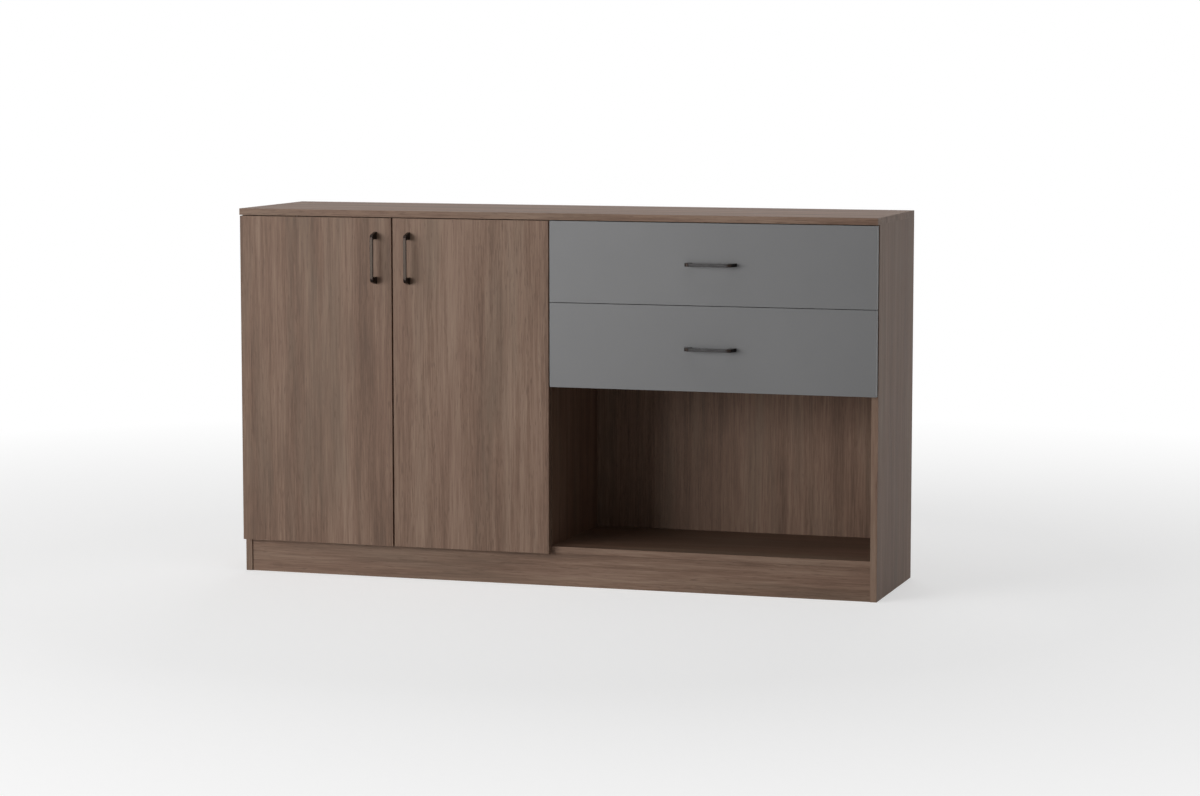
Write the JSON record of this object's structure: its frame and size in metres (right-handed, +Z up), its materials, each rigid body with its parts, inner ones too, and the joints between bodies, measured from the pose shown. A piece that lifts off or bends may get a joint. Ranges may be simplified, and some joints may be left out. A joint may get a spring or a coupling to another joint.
{
  "type": "office credenza",
  "caption": "Low office credenza of wood-grain boards with hinged doors on one side and drawers over an open bay on the other.",
  "frame": {"origin": "on the floor, under the middle of the bounding box, handles included", "axes": "+X to the right along the width, +Y to the back, +Z up"},
  "size_m": [1.6, 0.428, 0.9],
  "materials": {
    "wood_laminate": "matt wood-grain melamine on particle board",
    "wood_edge_band": "matt wood-grain edge band",
    "grey_laminate": "matt plain grey melamine on particle board",
    "drawer_board": "pale grey melamine board",
    "handle_metal": "dark satin metal",
    "hinge_steel": "nickel-plated steel",
    "slide_steel": "zinc-plated steel",
    "fastener_steel": "zinc-plated steel",
    "cam_zinc": "cast zinc alloy",
    "dowel_wood": "raw beech",
    "bumper_rubber": "clear soft plastic"
  },
  "bodies": {
    "carcass": {"top_panel": "wood_laminate", "top_edge_bands": "wood_edge_band", "left_side_panel": "wood_laminate", "right_side_panel": "wood_laminate", "centre_divider": "wood_laminate", "bottom_panel": "wood_laminate", "back_panel": "wood_laminate", "front_plinth": "wood_laminate", "rear_plinth_rail": "wood_laminate", "drawer_deck": "wood_laminate", "cabinet_shelf": "wood_laminate", "shelf_pins": "hinge_steel", "carcass_edge_bands": "wood_edge_band", "cam_housings": "cam_zinc", "cam_bolts": "fastener_steel", "dowels": "dowel_wood", "back_panel_screws": "fastener_steel", "hinge_plates": "hinge_steel", "hinge_arms": "hinge_steel", "hinge_plate_screws": "fastener_steel", "hinge_clamp_screws": "fastener_steel", "upper_cabinet_rails": "slide_steel", "lower_cabinet_rails": "slide_steel"},
    "left_door": {"left_door_panel": "wood_laminate", "left_door_edge_bands": "wood_edge_band", "left_hinge_cups": "hinge_steel", "left_hinge_pins": "hinge_steel", "left_cup_screws": "fastener_steel", "left_door_handle": "handle_metal", "left_door_handle_screws": "fastener_steel", "left_door_bumpers": "bumper_rubber"},
    "right_door": {"right_door_panel": "wood_laminate", "right_door_edge_bands": "wood_edge_band", "right_hinge_cups": "hinge_steel", "right_hinge_pins": "hinge_steel", "right_cup_screws": "fastener_steel", "right_door_handle": "handle_metal", "right_door_handle_screws": "fastener_steel", "right_door_bumpers": "bumper_rubber"},
    "upper_drawer": {"upper_drawer_front": "grey_laminate", "upper_drawer_inner_front": "drawer_board", "upper_drawer_left_side": "drawer_board", "upper_drawer_right_side": "drawer_board", "upper_drawer_back": "drawer_board", "upper_drawer_bottom": "drawer_board", "upper_drawer_handle": "handle_metal", "upper_drawer_handle_screws": "fastener_steel", "upper_drawer_rails": "slide_steel"},
    "upper_slide": {"upper_middle_rails": "slide_steel"},
    "lower_drawer": {"lower_drawer_front": "grey_laminate", "lower_drawer_inner_front": "drawer_board", "lower_drawer_left_side": "drawer_board", "lower_drawer_right_side": "drawer_board", "lower_drawer_back": "drawer_board", "lower_drawer_bottom": "drawer_board", "lower_drawer_handle": "handle_metal", "lower_drawer_handle_screws": "fastener_steel", "lower_drawer_rails": "slide_steel"},
    "lower_slide": {"lower_middle_rails": "slide_steel"}
  },
  "joints": [
    {"name": "left_door_hinge", "type": "hinge", "parent": "carcass", "child": "left_door", "pos_m": [-0.791, -0.179, 0.48], "axis": [0, 0, -1], "range_deg": [0, 95]},
    {"name": "right_door_hinge", "type": "hinge", "parent": "carcass", "child": "right_door", "pos_m": [-0.009, -0.179, 0.48], "axis": [0, 0, 1], "range_deg": [0, 90]},
    {"name": "upper_drawer_travel", "type": "slide", "parent": "carcass", "child": "upper_drawer", "axis": [0, -1, 0], "range_m": [0, 0.3]},
    {"name": "upper_slide_travel", "type": "slide", "parent": "carcass", "child": "upper_slide", "axis": [0, -1, 0], "range_m": [0, 0.15]},
    {"name": "lower_drawer_travel", "type": "slide", "parent": "carcass", "child": "lower_drawer", "axis": [0, -1, 0], "range_m": [0, 0.3]},
    {"name": "lower_slide_travel", "type": "slide", "parent": "carcass", "child": "lower_slide", "axis": [0, -1, 0], "range_m": [0, 0.15]}
  ],
  "couplings": [
    {"joint": "upper_slide_travel", "follows": "upper_drawer_travel", "ratio": 0.5},
    {"joint": "lower_slide_travel", "follows": "lower_drawer_travel", "ratio": 0.5}
  ]
}
